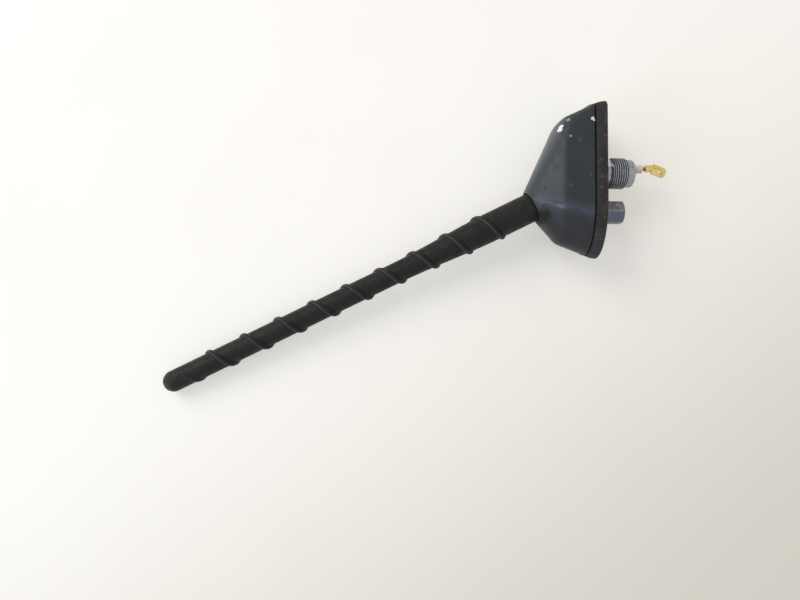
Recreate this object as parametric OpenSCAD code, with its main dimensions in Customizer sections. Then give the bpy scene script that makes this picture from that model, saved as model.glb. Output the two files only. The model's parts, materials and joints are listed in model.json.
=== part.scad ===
// Roof antenna for a car: a raked rubber mast that screws into a wedge-shaped base.
// +Z is up out of the roof, +X is the front of the car, and the origin is on the axis of
// the threaded stud, in the plane where the gasket meets the roof.

/* [Cover] */
// Reach of the cover in front of the stud's axis, at its lower edge
cover_front = 30.4; // [28:0.1:34]
// Reach of the cover behind the stud's axis, at its lower edge
cover_rear = 37.7; // [36:0.1:42]
// Width of the cover at its lower edge
cover_width = 31.4; // [30:0.1:36]
// Place behind the stud where the straight sides turn into the rounded rear
rear_turn = 14.5; // [12:0.1:17]
// Radius of the two front corners
corner_r = 3; // [2.6:0.1:4.5]
// Distance of each front corner's centre behind the foremost point
corner_back = 7.3; // [6:0.1:9]
// Height of the skirt's upper edge above the roof
skirt_top = 18.4; // [17.8:0.1:20]
// Backward lean of the front wall, from the lower edge to the skirt's upper edge
front_lean = 7.8; // [6:0.1:9]
// Forward lean of the rear wall over the same height
rear_lean = 5.1; // [3:0.1:6]
// Inward lean of each side wall over the same height
side_lean = 1.2; // [0.6:0.1:1.8]
// Size of the soft shoulder along the skirt's upper edge
shoulder = 1.2; // [0.6:0.1:1.8]
// Wall of the cover
cover_wall = 2; // [1.6:0.1:2.4]

/* [Mast mount] */
// Backward rake of the mast, in degrees from upright
mast_rake = 26.5; // [24.5:0.5:28.5]
// Place behind the stud where the mast's axis meets the roof plane
mast_x = 1.3; // [0.8:0.1:2]
// Height of the collar's rim, along the mast's axis
collar_s = 33.2; // [32.6:0.1:34.5]
// Radius of the collar's rim
collar_r = 7.5; // [7.3:0.1:8.5]
// Depth of the recess that the mast's foot stands in
recess_depth = 4.5; // [3.5:0.1:5.5]
// Floor of that recess
recess_floor = 2.4; // [2:0.1:3]
// Room round the mast's foot
foot_gap = 0.25; // [0.15:0.05:0.4]

/* [Mast] */
// Height of the mast's tip, along its axis
mast_top = 214.4; // [185:1:230]
// Radius of the mast's foot
foot_r = 6.6; // [6.2:0.1:7]
// Radius of the mast above the taper
mast_r = 4.7; // [4.4:0.1:5.4]
// Height where the taper begins, along the axis
taper_from = 51; // [45:1:55]
// Height where the taper ends
taper_to = 102; // [85:1:110]
// Rise of the spiral rib from turn to turn
rib_pitch = 16.5; // [12:0.5:20]
// Height of one rib crest on the mast's front side, which sets where the spiral lies
rib_crest_s = 108.5; // [100:0.1:115]
// Height at which the rib starts
rib_from = 50; // [45:1:55]
// Distance of the rib's end below the tip
rib_end_gap = 9; // [7:0.5:14]
// How far the rib stands out from the mast
rib_h = 1; // [0.6:0.1:1.4]
// Width of the rib at its root
rib_w = 4.4; // [3:0.1:5.5]
// Radius of the glass-fibre rod in the mast
rod_r = 2; // [1.6:0.1:2.2]
// Distance of the rod's end below the tip
rod_end_gap = 10; // [8:0.5:14]
// Thickness of the wire winding on the rod
winding_t = 0.5; // [0.3:0.1:0.7]
// Distance of the winding's end below the rod's end
winding_end_gap = 6; // [3:0.5:10]
// Radius of the ferrule's shank
ferrule_r = 3.5; // [3.2:0.1:3.8]
// Length of the ferrule's shank
ferrule_len = 15; // [12:0.5:18]
// Radius of the ferrule's flange
flange_r = 4.6; // [4.2:0.1:5]
// Thickness of the ferrule's flange
flange_t = 1.5; // [1.2:0.1:2]
// Depth of solid metal between the flange's face and the rod's end
rod_inset = 2.5; // [2:0.1:4]
// Thread diameter of the mast
mast_thread_d = 5; // [5, 6]
// Length of the mast's thread
mast_thread_len = 10; // [9:0.1:11]
// Thickness of the rubber ring under the mast's foot
seal_t = 1.2; // [0.8:0.1:1.4]
// Radius of that ring
seal_r = 6; // [5.6:0.1:6.2]

/* [Gasket] */
// Height of the gasket's rim, from the roof to the cover
gasket_h = 5; // [4.5:0.1:6]
// How far the gasket flares out at the roof
gasket_flare = 1.4; // [0.8:0.1:1.8]
// How far the gasket's upper edge stands out from the cover
gasket_proud = 0.2; // [0:0.1:0.4]
// Width of the gasket's rim, inwards from the cover's outline
gasket_rim = 2.6; // [2.3:0.1:3]
// Height of the base plate's underside above the roof
plate_z = 2; // [1.8:0.1:2.4]
// Depth of the hollow in the gasket's underside
roof_relief = 0.8; // [0.5:0.1:1]
// Width of the band that seals on the roof
seal_band = 5; // [4:0.1:5.5]
// Room in the gasket round the stud and the post
gasket_hole_gap = 1; // [0.8:0.1:1.5]

/* [Base plate] */
// Radius of the tower that carries the mast's socket
tower_r = 8; // [7.6:0.1:8.6]
// Height of the tower's top, along the mast's axis
tower_s = 19.5; // [19:0.1:20.5]
// Radius of the hub over the stud
hub_r = 8.4; // [8:0.1:9]
// Height of the hub's top above the roof
hub_z = 9; // [8:0.1:10]
// Height of the step that the stud's tail stops at
stud_step_z = 5.5; // [4.8:0.1:6]

/* [Stud and post] */
// Thread diameter of the hollow stud
stud_d = 14; // [14, 16]
// Length of the full thread below the roof plane
stud_thread = 13.4; // [12:0.1:30]
// Length of the plain nose beyond the thread
nose_len = 3.2; // [2:0.1:5]
// Step from the thread's crest in to the nose
nose_step = 0.8; // [0.6:0.1:1.2]
// Wall left between the bore and the thread's crest
stud_wall = 2; // [1.8:0.1:2.2]
// Rounding of the nose's end
nose_round = 1.2; // [0.4:0.1:1.2]
// Step from the thread's crest in to the stud's pressed-in tail
tail_step = 0.7; // [0.5:0.1:0.9]
// Distance of the post behind the stud
post_x = 18; // [17.5:0.1:19]
// Width of the six-sided post across its flats
post_af = 9.5; // [8.5:0.1:9.5]
// Length of the post below the roof plane
post_len = 12; // [11:0.1:20]
// Bevel round the post's end
post_bevel = 0.7; // [0.4:0.1:1]
// Radius of the post's pressed-in tail
post_tail_r = 3.5; // [3:0.1:3.8]
// Radius of the cross hole in the post
cross_r = 1.2; // [1:0.1:1.5]
// Depth of the cross hole's axis below the roof plane
cross_z = 9.1; // [7:0.1:10]

/* [Socket] */
// Height of the insulator's lower end, along the mast's axis
bush_s = 11.5; // [11:0.1:12]
// Thickness of the insulator's floor
bush_floor = 2.5; // [2:0.1:3]
// Radius of the insulator in the tower
bush_r = 6; // [5.8:0.1:6.4]
// Radius of the insulator's flange
bush_flange_r = 7.5; // [7.2:0.1:8]
// Thickness of the insulator's flange
bush_flange_t = 1.5; // [1.2:0.1:1.8]
// Radius of the brass socket
socket_r = 4; // [3.8:0.1:4.2]
// Radius of the socket's collar
socket_collar_r = 5.2; // [4.8:0.1:5.6]
// Thickness of the socket's collar
socket_collar_t = 1.5; // [1:0.1:2]
// Depth of the socket's top below the recess floor
socket_low = 0.5; // [0.3:0.1:0.8]
// Room below the mast's thread in the socket
socket_spare = 1.9; // [1.5:0.1:2.5]
// Radius of the socket's lower tail
socket_tail_r = 1.5; // [1.4:0.1:1.7]
// Thickness of the ring terminal's metal
ring_t = 0.8; // [0.6:0.1:1]
// Radius of the ring terminal
ring_r = 4.2; // [3.9:0.1:4.3]
// Distance of the terminal's tongue from the mast's axis
tongue_x = 4.3; // [4.2:0.1:4.4]
// Width of the tongue
tongue_w = 3; // [2.5:0.1:3.5]
// Length of the tongue below the ring
tongue_len = 3.2; // [2.8:0.1:3.6]
// Thickness of the spring washer
washer_t = 0.8; // [0.6:0.1:1]
// Width of the contact nut across its flats
nut_af = 6; // [5.5:0.1:6.4]
// Thickness of the contact nut
nut_t = 2.2; // [1.8:0.1:2.4]
// Radius of the hollow round the nut
nut_room_r = 5.3; // [5.2:0.1:5.6]
// Room below the nut
nut_room = 0.6; // [0.5:0.1:1]
// How far the socket's tail stands out of the nut
tail_proud = 0.4; // [0.2:0.1:0.5]
// Width of the spring washer's split
washer_split = 0.8; // [0.5:0.1:1.2]

/* [Lead and tab] */
// Radius of the ivory insulation
lead_r = 1.9; // [1.6:0.1:2]
// Radius of the copper core
core_r = 0.7; // [0.5:0.1:0.8]
// Offset of the lead from the stud's axis, at the stud's end
lead_x = 2; // [1.6:0.1:2.4]
// Lean of the lead, in degrees
lead_lean = 4; // [3:0.5:5]
// Length of the insulation below the stud's end
lead_out = 4.8; // [3:0.1:8]
// Room round the core where it passes through the base plate
wire_room = 0.6; // [0.4:0.1:0.8]
// Length of bare core below the insulation
core_bare = 1.6; // [1:0.1:3]
// Thickness of the terminal's brass
tab_t = 0.8; // [0.6:0.1:1]
// Width of the tab
tab_w = 4.8; // [4.8, 6.3]
// Length of the tab
tab_len = 6.6; // [6:0.1:8.5]
// Radius of the hole in the tab
tab_hole_r = 0.7; // [0.6:0.05:0.9]
// Distance of that hole from the tab's end
tab_hole_up = 2.9; // [2.5:0.1:3.6]
// Chamfer at the tab's end corners
tab_chamfer = 1.1; // [0.6:0.1:1.4]
// Length of the crimped barrel
barrel_len = 2.8; // [2.4:0.1:3.5]
// Thickness of the barrel's closed end
barrel_floor = 0.8; // [0.7:0.1:1]
// How far the neck reaches into the barrel's closed end
neck_root = 0.1; // [0.1:0.05:0.2]
// Length of the neck between the barrel and the tab
neck_len = 0.5; // [0.4:0.1:1.5]
// Lean of the tab, in degrees
tab_lean = 19.5; // [0:0.5:25]
// Turn of the tab about its own length, in degrees
tab_roll = 8; // [0:1:90]
// Length of the plug that closes the stud's end
plug_len = 8; // [5:0.5:12]
// Depth of the plug inside the stud's end
plug_in = 0.6; // [0.3:0.1:1.5]

/* [Screws] */
// Distance of the front screw behind the cover's foremost point
screw_front_in = 12.2; // [11.2:0.1:13]
// Distance of the two rear screws ahead of the cover's rearmost point
screw_rear_in = 9.8; // [9.2:0.1:10.4]
// Distance of each rear screw inside the cover's side
screw_side_in = 9.2; // [8.8:0.1:10]
// Radius of a screw's shank
screw_r = 1.45; // [1.2:0.05:1.6]
// Length of a screw's shank in the cover
screw_bite = 7; // [6:0.5:9]
// Radius of a screw's head
head_r = 2.6; // [2.4:0.1:2.8]
// Height of a screw's head
head_h = 1.6; // [1.2:0.1:1.8]
// Width of the cross slots in a screw's head
slot_w = 0.7; // [0.5:0.1:0.9]
// Radius of a screw pillar in the cover
pillar_r = 3.2; // [3:0.1:3.6]

/* [Fits] */
// Clearance round pieces that are fitted together
fit_gap = 0.05; // [0.02:0.01:0.1]
// Clearance above and below the rubber ring
seal_gap = 0.1; // [0.05:0.01:0.15]

/* [Hidden] */
$fn = 48;
// A thin slice, used where a hull starts or ends
slice = 0.01;
// An overrun, so that a cut passes its face
over = 1;
half_w = cover_width / 2;
skirt_h = skirt_top - gasket_h;
// Recess floor, foot of the mast and top of the socket, along the mast's axis
floor_s = collar_s - recess_depth;
foot_s = floor_s + seal_t + 2 * seal_gap;
socket_top_s = floor_s - socket_low;
thread_end_s = foot_s - mast_thread_len;
socket_bottom_s = bush_s + bush_floor + fit_gap;
thread_r = mast_thread_d / 2;
bush_top_s = tower_s + bush_flange_t;
ring_s = bush_s - fit_gap - ring_t;
washer_s = ring_s - fit_gap - washer_t;
nut_s = washer_s - fit_gap - nut_t;
nut_room_s = nut_s - nut_room;
stud_r = stud_d / 2;
bore_r = stud_r - stud_wall;
tail_r = stud_r - tail_step;
// Radius at the post's end, inside its bevel, and out to its six corners
post_flat_r = post_af / 2 - post_bevel / 2;
post_corner_r = post_af / 2 / cos(30);
stud_end = stud_thread + nose_len;
dome_s = mast_top - mast_r;
rod_top_s = mast_top - rod_end_gap;
rod_low_s = foot_s + rod_inset;
ferrule_top_s = foot_s + ferrule_len;
winding_r = rod_r + fit_gap + winding_t;
winding_low_s = ferrule_top_s + fit_gap;
winding_top_s = rod_top_s - winding_end_gap;
rib_to = mast_top - rib_end_gap;
// Rings for each turn of the rib, points on each flank of the rib, and points in a ring
rib_steps = 14;
rib_rows = 3;
ring_points = 18;
rib_angle = 180 * rib_w / rib_pitch;
rubber = [0.17, 0.17, 0.18];
plastic = [0.21, 0.23, 0.25];
zinc = [0.58, 0.6, 0.62];
brass = [0.76, 0.66, 0.4];
steel = [0.55, 0.57, 0.6];

// Outline of the base in plan: a bowed front, small corners, straight sides and a long
// rounded rear. The reach, half width and corner are given, so walls can be inset from it.
function base_outline(front, rear, half, turn, corner, back) =
    let (
        cx = front - back,
        cy = half - corner,
        bow = (back * back + cy * cy - corner * corner) / (2 * (back - corner)),
        end = asin(cy / (bow - corner))
    )
    concat(
        [for (i = [-3 : 3]) [front - bow + bow * cos(end * i / 3), bow * sin(end * i / 3)]],
        [for (i = [1 : 5]) let (a = end + (90 - end) * i / 5)
            [cx + corner * cos(a), cy + corner * sin(a)]],
        [for (i = [0 : 24]) let (a = 90 + 180 * i / 24)
            [-turn + (rear - turn) * cos(a), half * sin(a)]],
        [for (i = [5 : -1 : 1]) let (a = end + (90 - end) * i / 5)
            [cx + corner * cos(a), -cy - corner * sin(a)]]
    );

// The outline as the walls have it a share k of the way up the skirt, inset by t
module cover_plan(k, t) {
    polygon(base_outline(cover_front - front_lean * k - t, cover_rear - rear_lean * k - t,
        half_w - side_lean * k - t, rear_turn - side_lean * k, max(corner_r - t, 1),
        corner_back - t + min(t, corner_r - 1)));
}

// A thin slice of the cover at height z
module cover_slice(z, k, t) {
    translate([0, 0, z])
        linear_extrude(slice)
            cover_plan(k, t);
}

// Places its children on the mast's axis, s above the roof plane, with +Z along the mast
module on_mast(s) {
    translate([-mast_x, 0, 0])
        rotate([0, -mast_rake, 0])
            translate([0, 0, s])
                children();
}

// Places its children on the lead's axis, at the stud's end, with +Z up the lead
module on_lead() {
    translate([lead_x, 0, -stud_end])
        rotate([0, -lead_lean, 0])
            children();
}

// Places its children where each screw stands, i = 0 front, 1 left, 2 right
module at_screw(i) {
    translate(i == 0 ? [cover_front - screw_front_in, 0, 0]
        : [screw_rear_in - cover_rear, (i == 1 ? 1 : -1) * (half_w - screw_side_in), 0])
        children();
}

// Outer form of the cover: the skirt, its shoulder and the roof that runs up to the collar
module cover_form() {
    hull() {
        cover_slice(gasket_h, 0, 0);
        cover_slice(skirt_top - shoulder, 1 - shoulder / skirt_h, 0);
        cover_slice(skirt_top + shoulder / 4, 1, shoulder / 2);
        on_mast(collar_s - slice)
            cylinder(h = slice, r = collar_r);
    }
}

// Inner form of the cover, open below
module cover_hollow() {
    hull() {
        cover_slice(gasket_h - over, 0, cover_wall);
        cover_slice(skirt_top - cover_wall, 1, cover_wall);
        on_mast(floor_s - recess_floor - slice)
            cylinder(h = slice, r = collar_r - cover_wall / 2);
    }
}

module housing_cover() {
    color(plastic)
        difference() {
            union() {
                difference() {
                    cover_form();
                    cover_hollow();
                }
                intersection() {
                    cover_form();
                    for (i = [0 : 2])
                        at_screw(i)
                            translate([0, 0, gasket_h])
                                cylinder(h = skirt_top, r = pillar_r);
                }
            }
            on_mast(floor_s)
                cylinder(h = recess_depth + over, r = foot_r + foot_gap);
            on_mast(floor_s - recess_floor - over)
                cylinder(h = recess_floor + 2 * over, r = socket_r + foot_gap);
            for (i = [0 : 2])
                at_screw(i)
                    translate([0, 0, gasket_h - over])
                        cylinder(h = screw_bite + 2 * over, r = screw_r + fit_gap);
        }
}

module base_gasket() {
    color(rubber)
        difference() {
            hull() {
                cover_slice(0, 0, -gasket_flare);
                cover_slice(gasket_h - slice, 0, -gasket_proud);
            }
            translate([0, 0, plate_z])
                linear_extrude(gasket_h)
                    cover_plan(0, gasket_rim);
            translate([0, 0, -over])
                linear_extrude(over + roof_relief)
                    cover_plan(0, seal_band);
            translate([0, 0, -over])
                cylinder(h = gasket_h, r = stud_r + gasket_hole_gap);
            translate([-post_x, 0, -over])
                cylinder(h = gasket_h, r = post_corner_r + gasket_hole_gap / 2);
        }
}

module base_plate() {
    color(zinc)
        difference() {
            union() {
                translate([0, 0, plate_z])
                    linear_extrude(gasket_h - plate_z)
                        cover_plan(0, gasket_rim + fit_gap * 2);
                translate([0, 0, plate_z])
                    cylinder(h = hub_z - plate_z, r = hub_r);
                intersection() {
                    on_mast(0)
                        cylinder(h = tower_s, r = tower_r);
                    translate([-cover_rear, -half_w, plate_z])
                        cube([cover_rear + cover_front, cover_width, tower_s]);
                }
            }
            translate([0, 0, plate_z - over])
                cylinder(h = over + stud_step_z - plate_z, r = tail_r + fit_gap);
            cylinder(h = hub_z - over, r = bore_r);
            on_lead()
                translate([0, 0, stud_end])
                    cylinder(h = hub_z + 2 * over, r = core_r + wire_room);
            on_mast(nut_room_s)
                cylinder(h = tower_s, r = nut_room_r);
            on_mast(bush_s - fit_gap)
                cylinder(h = tower_s, r = bush_r + fit_gap);
            translate([-post_x, 0, plate_z - over])
                cylinder(h = gasket_h, r = post_tail_r + fit_gap);
            for (i = [0 : 2])
                at_screw(i) {
                    translate([0, 0, plate_z - over])
                        cylinder(h = gasket_h, r = screw_r + 3 * fit_gap);
                    translate([0, 0, plate_z - over])
                        cylinder(h = over + head_h + fit_gap, r = head_r + 3 * fit_gap);
                }
        }
}

module threaded_stud() {
    color(steel)
        difference() {
            union() {
                translate([0, 0, -stud_thread])
                    cylinder(h = stud_thread + plate_z, r = stud_r);
                cylinder(h = stud_step_z - fit_gap, r = tail_r);
                translate([0, 0, -stud_end])
                    rotate_extrude()
                        polygon([[0, 0], [stud_r - nose_step - nose_round, 0],
                            [stud_r - nose_step, nose_round], [stud_r - nose_step, nose_len + over],
                            [0, nose_len + over]]);
            }
            translate([0, 0, -stud_end - over])
                cylinder(h = stud_end + stud_step_z + 2 * over, r = bore_r);
        }
}

module locating_post() {
    color(steel)
        translate([-post_x, 0, 0])
            difference() {
                union() {
                    intersection() {
                        translate([0, 0, -post_len])
                            rotate([0, 0, 30])
                                cylinder(h = post_len + plate_z, r = post_corner_r, $fn = 6);
                        translate([0, 0, -post_len])
                            rotate_extrude()
                                polygon([[0, 0], [post_flat_r, 0],
                                    [post_flat_r + 2 * post_bevel, post_bevel],
                                    [post_flat_r + 2 * post_bevel, post_len + plate_z],
                                    [0, post_len + plate_z]]);
                    }
                    cylinder(h = gasket_h, r = post_tail_r);
                }
                translate([0, 0, -cross_z])
                    rotate([0, 0, -60])
                        rotate([0, 90, 0])
                            cylinder(h = 2 * post_af, r = cross_r, center = true);
            }
}

module stud_plug() {
    color([0.2, 0.2, 0.2])
        difference() {
            translate([0, 0, -stud_end + plug_in])
                cylinder(h = plug_len, r = bore_r - fit_gap);
            on_lead()
                cylinder(h = 4 * plug_len, r = lead_r + fit_gap, center = true);
        }
}

module socket_insulator() {
    color([0.85, 0.84, 0.78])
        difference() {
            union() {
                on_mast(bush_s)
                    cylinder(h = bush_top_s - bush_s, r = bush_r);
                on_mast(tower_s)
                    cylinder(h = bush_flange_t, r = bush_flange_r);
            }
            on_mast(bush_s + bush_floor)
                cylinder(h = tower_s, r = socket_r + fit_gap);
            on_mast(bush_s - over)
                cylinder(h = tower_s, r = socket_tail_r + fit_gap);
        }
}

module mast_socket() {
    color(brass)
        difference() {
            union() {
                on_mast(socket_bottom_s)
                    cylinder(h = socket_top_s - socket_bottom_s, r = socket_r);
                on_mast(bush_top_s)
                    cylinder(h = socket_collar_t, r = socket_collar_r);
                on_mast(nut_s - tail_proud)
                    cylinder(h = socket_bottom_s - nut_s + over, r = socket_tail_r);
            }
            on_mast(thread_end_s - socket_spare)
                cylinder(h = tower_s, r = thread_r + fit_gap);
        }
}

module ring_terminal() {
    color(brass)
        difference() {
            union() {
                on_mast(ring_s)
                    cylinder(h = ring_t, r = ring_r);
                on_mast(ring_s)
                    translate([0, -tongue_w / 2, 0])
                        cube([tongue_x + ring_t, tongue_w, ring_t]);
                on_mast(ring_s - tongue_len)
                    translate([tongue_x, -tongue_w / 2, 0])
                        cube([ring_t, tongue_w, tongue_len + ring_t]);
            }
            on_mast(ring_s - over)
                cylinder(h = ring_t + 2 * over, r = socket_tail_r + fit_gap);
            on_lead()
                cylinder(h = 3 * stud_end, r = core_r + fit_gap);
        }
}

module spring_washer() {
    color(steel)
        on_mast(washer_s)
            difference() {
                cylinder(h = washer_t, r = nut_af / 2);
                translate([0, 0, -over])
                    cylinder(h = washer_t + 2 * over, r = socket_tail_r + fit_gap);
                translate([-nut_af, -washer_split / 2, -over])
                    cube([nut_af, washer_split, washer_t + 2 * over]);
            }
}

module contact_nut() {
    color(brass)
        on_mast(nut_s)
            difference() {
                rotate([0, 0, 30])
                    cylinder(h = nut_t, r = nut_af / 2 / cos(30), $fn = 6);
                translate([0, 0, -over])
                    cylinder(h = nut_t + 2 * over, r = socket_tail_r + fit_gap);
            }
}

module lead_insulation() {
    color([0.89, 0.85, 0.77])
        on_lead()
            translate([0, 0, -lead_out])
                difference() {
                    cylinder(h = lead_out + stud_end + gasket_h, r = lead_r);
                    translate([0, 0, -over])
                        cylinder(h = lead_out + stud_end + gasket_h + 2 * over, r = core_r + fit_gap);
                }
}

module lead_core() {
    color([0.72, 0.45, 0.3])
        on_lead()
            translate([0, 0, -lead_out - core_bare - barrel_len + barrel_floor])
                cylinder(h = lead_out + core_bare + barrel_len + stud_end + hub_z, r = core_r);
}

module blade_terminal() {
    color(brass)
        union() {
            on_lead()
                translate([0, 0, -lead_out - core_bare - barrel_len])
                    difference() {
                        cylinder(h = barrel_len, r = core_r + fit_gap + tab_t);
                        translate([0, 0, barrel_floor])
                            cylinder(h = barrel_len, r = core_r + fit_gap);
                    }
            on_lead()
                translate([0, 0, -lead_out - core_bare - barrel_len])
                    rotate([0, tab_lean + lead_lean, 0])
                        rotate([0, 0, tab_roll])
                            tab_blade();
        }
}

// The flat tab: a short neck, then the blade with its chamfered end and its hole
module tab_blade() {
    side = tab_w / 2;
    neck = tab_w / 4;
    end = -neck_len - tab_len;
    rotate([90, 0, 0])
        translate([0, 0, -tab_t / 2])
            linear_extrude(tab_t)
                difference() {
                    polygon([[-neck, neck_root], [-neck, -neck_len], [-side, -neck_len],
                        [-side, end + tab_chamfer], [tab_chamfer - side, end],
                        [side - tab_chamfer, end], [side, end + tab_chamfer],
                        [side, -neck_len], [neck, -neck_len], [neck, neck_root]]);
                    translate([0, end + tab_hole_up])
                        circle(r = tab_hole_r);
                }
}

module cover_screw(i) {
    color(steel)
        at_screw(i)
            difference() {
                union() {
                    translate([0, 0, plate_z])
                        cylinder(h = head_h, r = head_r);
                    translate([0, 0, plate_z])
                        cylinder(h = gasket_h - plate_z + screw_bite, r = screw_r);
                }
                translate([-head_r, -slot_w / 2, plate_z - over])
                    cube([2 * head_r, slot_w, over + head_h / 2]);
                translate([-slot_w / 2, -head_r, plate_z - over])
                    cube([slot_w, 2 * head_r, over + head_h / 2]);
            }
}

module cover_screw_front() {
    cover_screw(0);
}

module cover_screw_left() {
    cover_screw(1);
}

module cover_screw_right() {
    cover_screw(2);
}

module mast_seal() {
    color([0.1, 0.1, 0.1])
        on_mast(floor_s + seal_gap)
            difference() {
                cylinder(h = seal_t, r = seal_r);
                translate([0, 0, -over])
                    cylinder(h = seal_t + 2 * over, r = thread_r + fit_gap);
            }
}

module mast_ferrule() {
    color(brass)
        difference() {
            union() {
                on_mast(thread_end_s)
                    cylinder(h = mast_thread_len + over, r = thread_r);
                on_mast(foot_s)
                    cylinder(h = flange_t, r = flange_r);
                on_mast(foot_s)
                    cylinder(h = ferrule_len, r = ferrule_r);
            }
            on_mast(rod_low_s)
                cylinder(h = ferrule_len, r = rod_r + fit_gap);
        }
}

module mast_rod() {
    color([0.8, 0.8, 0.7])
        on_mast(rod_low_s)
            cylinder(h = rod_top_s - rod_low_s, r = rod_r);
}

module mast_winding() {
    color([0.7, 0.42, 0.26])
        on_mast(winding_low_s)
            difference() {
                cylinder(h = winding_top_s - winding_low_s, r = winding_r);
                translate([0, 0, -over])
                    cylinder(h = mast_top, r = rod_r + fit_gap);
            }
}

// Radius of the mast at height s: the foot, a soft taper, the slim upper part and the dome
function mast_radius(s) =
    let (t = max(0, min(1, (s - taper_from) / (taper_to - taper_from))))
    s > dome_s ? sqrt(max(mast_r * mast_r - (s - dome_s) * (s - dome_s), 0))
        : foot_r + (mast_r - foot_r) * t * t * (3 - 2 * t);

// Share of the rib's full height at height s, which fades in and out over part of a turn
function rib_share(s) = max(0, min(1, (s - rib_from) * 1.6 / rib_pitch, (rib_to - s) * 1.6 / rib_pitch));

// One ring of points round the mast. The ring turns with height as the rib does, so the
// rib always runs along the same points: the first ones, from -rib_angle to rib_angle.
function mast_ring(s) =
    let (turn = 360 * (max(rib_from, min(rib_to, s)) - rib_crest_s) / rib_pitch)
    [for (i = [0 : ring_points - 1])
        let (
            on_rib = i <= 2 * rib_rows,
            a = on_rib ? rib_angle * (i / rib_rows - 1)
                : rib_angle + (360 - 2 * rib_angle) * (i - 2 * rib_rows) / (ring_points - 2 * rib_rows),
            proud = on_rib ? rib_h * rib_share(s) * (1 + cos(180 * a / rib_angle)) / 2 : 0,
            r = mast_radius(s) + proud
        )
        [r * cos(turn + a), r * sin(turn + a), s]];

// Outer form of the mast: rings of points from the foot to the tip
module mast_form() {
    steps = round((rib_to - rib_from) / rib_pitch * rib_steps);
    heights = concat(
        [foot_s],
        [for (i = [0 : steps]) rib_from + (rib_to - rib_from) * i / steps],
        [for (a = [0 : 15 : 75]) dome_s + mast_r * sin(a)]
    );
    n = ring_points;
    last = len(heights) - 1;
    polyhedron(
        points = concat([for (s = heights) each mast_ring(s)], [[0, 0, mast_top]]),
        faces = concat(
            [[for (j = [0 : n - 1]) j]],
            [for (i = [0 : last - 1], j = [0 : n - 1]) let (k = (j + 1) % n)
                [n * i + j, n * i + n + j, n * i + n + k]],
            [for (i = [0 : last - 1], j = [0 : n - 1]) let (k = (j + 1) % n)
                [n * i + j, n * i + n + k, n * i + k]],
            [for (j = [0 : n - 1]) [n * last + j, n * last + n, n * last + (j + 1) % n]]
        )
    );
}

module mast_sheath() {
    color(rubber)
        on_mast(0)
            difference() {
                mast_form();
                translate([0, 0, foot_s - over])
                    cylinder(h = flange_t + fit_gap + over, r = flange_r + fit_gap);
                translate([0, 0, foot_s])
                    cylinder(h = ferrule_len + fit_gap, r = ferrule_r + fit_gap);
                translate([0, 0, foot_s])
                    cylinder(h = winding_top_s + fit_gap - foot_s, r = winding_r + fit_gap);
                translate([0, 0, foot_s])
                    cylinder(h = rod_top_s + fit_gap - foot_s, r = rod_r + fit_gap);
            }
}

housing_cover();
base_gasket();
base_plate();
threaded_stud();
locating_post();
stud_plug();
socket_insulator();
mast_socket();
ring_terminal();
spring_washer();
contact_nut();
lead_insulation();
lead_core();
blade_terminal();
cover_screw_front();
cover_screw_left();
cover_screw_right();
mast_seal();
mast_ferrule();
mast_rod();
mast_winding();
mast_sheath();
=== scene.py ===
import bisect
import functools
import json
from math import asin, atan2, copysign, cos, exp, pi, radians, sin, sqrt, tau

import bpy
from mathutils import Matrix, Vector, noise


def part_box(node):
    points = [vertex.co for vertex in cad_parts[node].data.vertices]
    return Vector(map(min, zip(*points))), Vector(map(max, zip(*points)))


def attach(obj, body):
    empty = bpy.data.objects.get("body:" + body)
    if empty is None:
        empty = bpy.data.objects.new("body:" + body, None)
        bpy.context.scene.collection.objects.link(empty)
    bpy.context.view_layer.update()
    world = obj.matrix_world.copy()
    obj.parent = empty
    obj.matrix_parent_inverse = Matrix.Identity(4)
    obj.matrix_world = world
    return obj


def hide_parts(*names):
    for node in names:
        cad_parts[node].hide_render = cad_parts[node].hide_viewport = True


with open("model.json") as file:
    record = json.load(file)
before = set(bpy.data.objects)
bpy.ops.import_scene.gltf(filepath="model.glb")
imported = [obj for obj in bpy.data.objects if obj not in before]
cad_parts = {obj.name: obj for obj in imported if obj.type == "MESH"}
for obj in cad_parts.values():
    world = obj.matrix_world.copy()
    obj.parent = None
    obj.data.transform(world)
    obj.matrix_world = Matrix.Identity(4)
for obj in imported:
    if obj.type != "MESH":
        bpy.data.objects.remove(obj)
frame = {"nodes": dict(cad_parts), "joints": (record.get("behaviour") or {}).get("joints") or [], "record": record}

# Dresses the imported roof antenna: its cover, gasket, stud, lead and mast are modelled over the
# fixed frame, every piece gets a worked finish, and a plain pale stage is set for the photograph.

bl_info = {
    "name": "Roof Antenna",
    "version": (1, 0, 0),
    "blender": (4, 5, 0),
    "location": "View3D > Sidebar > Antenna",
    "description": "Models and finishes a car roof antenna around its packed frame",
    "category": "Object",
}

MM = 0.001
RECORD = frame["record"]
BODY_OF = {node: body for body, nodes in RECORD["behaviour"]["bodies"].items() for node in nodes}
CROSS_HOLE = next(m for m in RECORD["mounts"] if m["name"] == "post_cross_hole")
TURN = next(j for j in frame["joints"] if j["name"] == "mast_turn")
# The mast's axis, and where it meets the roof plane
MAST_ROOT = Vector(TURN["pos_m"])
MAST_UP = Vector(TURN["axis"]).normalized()
LEFT = Vector((0, 1, 0))
MAST_FRONT = LEFT.cross(MAST_UP)
# The lead's axis, down from the stud's end, 2 mm in front of the stud's own axis
LEAD_END = Vector((2 * MM, 0, -16.6 * MM))
LEAD_LEAN = radians(4)
LEAD_DOWN = Vector((sin(LEAD_LEAN), 0, -cos(LEAD_LEAN)))


def length(name, description, mm):
    """A size property, given in millimetres and kept in metres."""
    return bpy.props.FloatProperty(
        name=name, description=description, default=mm * MM, unit="LENGTH", precision=5)


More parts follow.
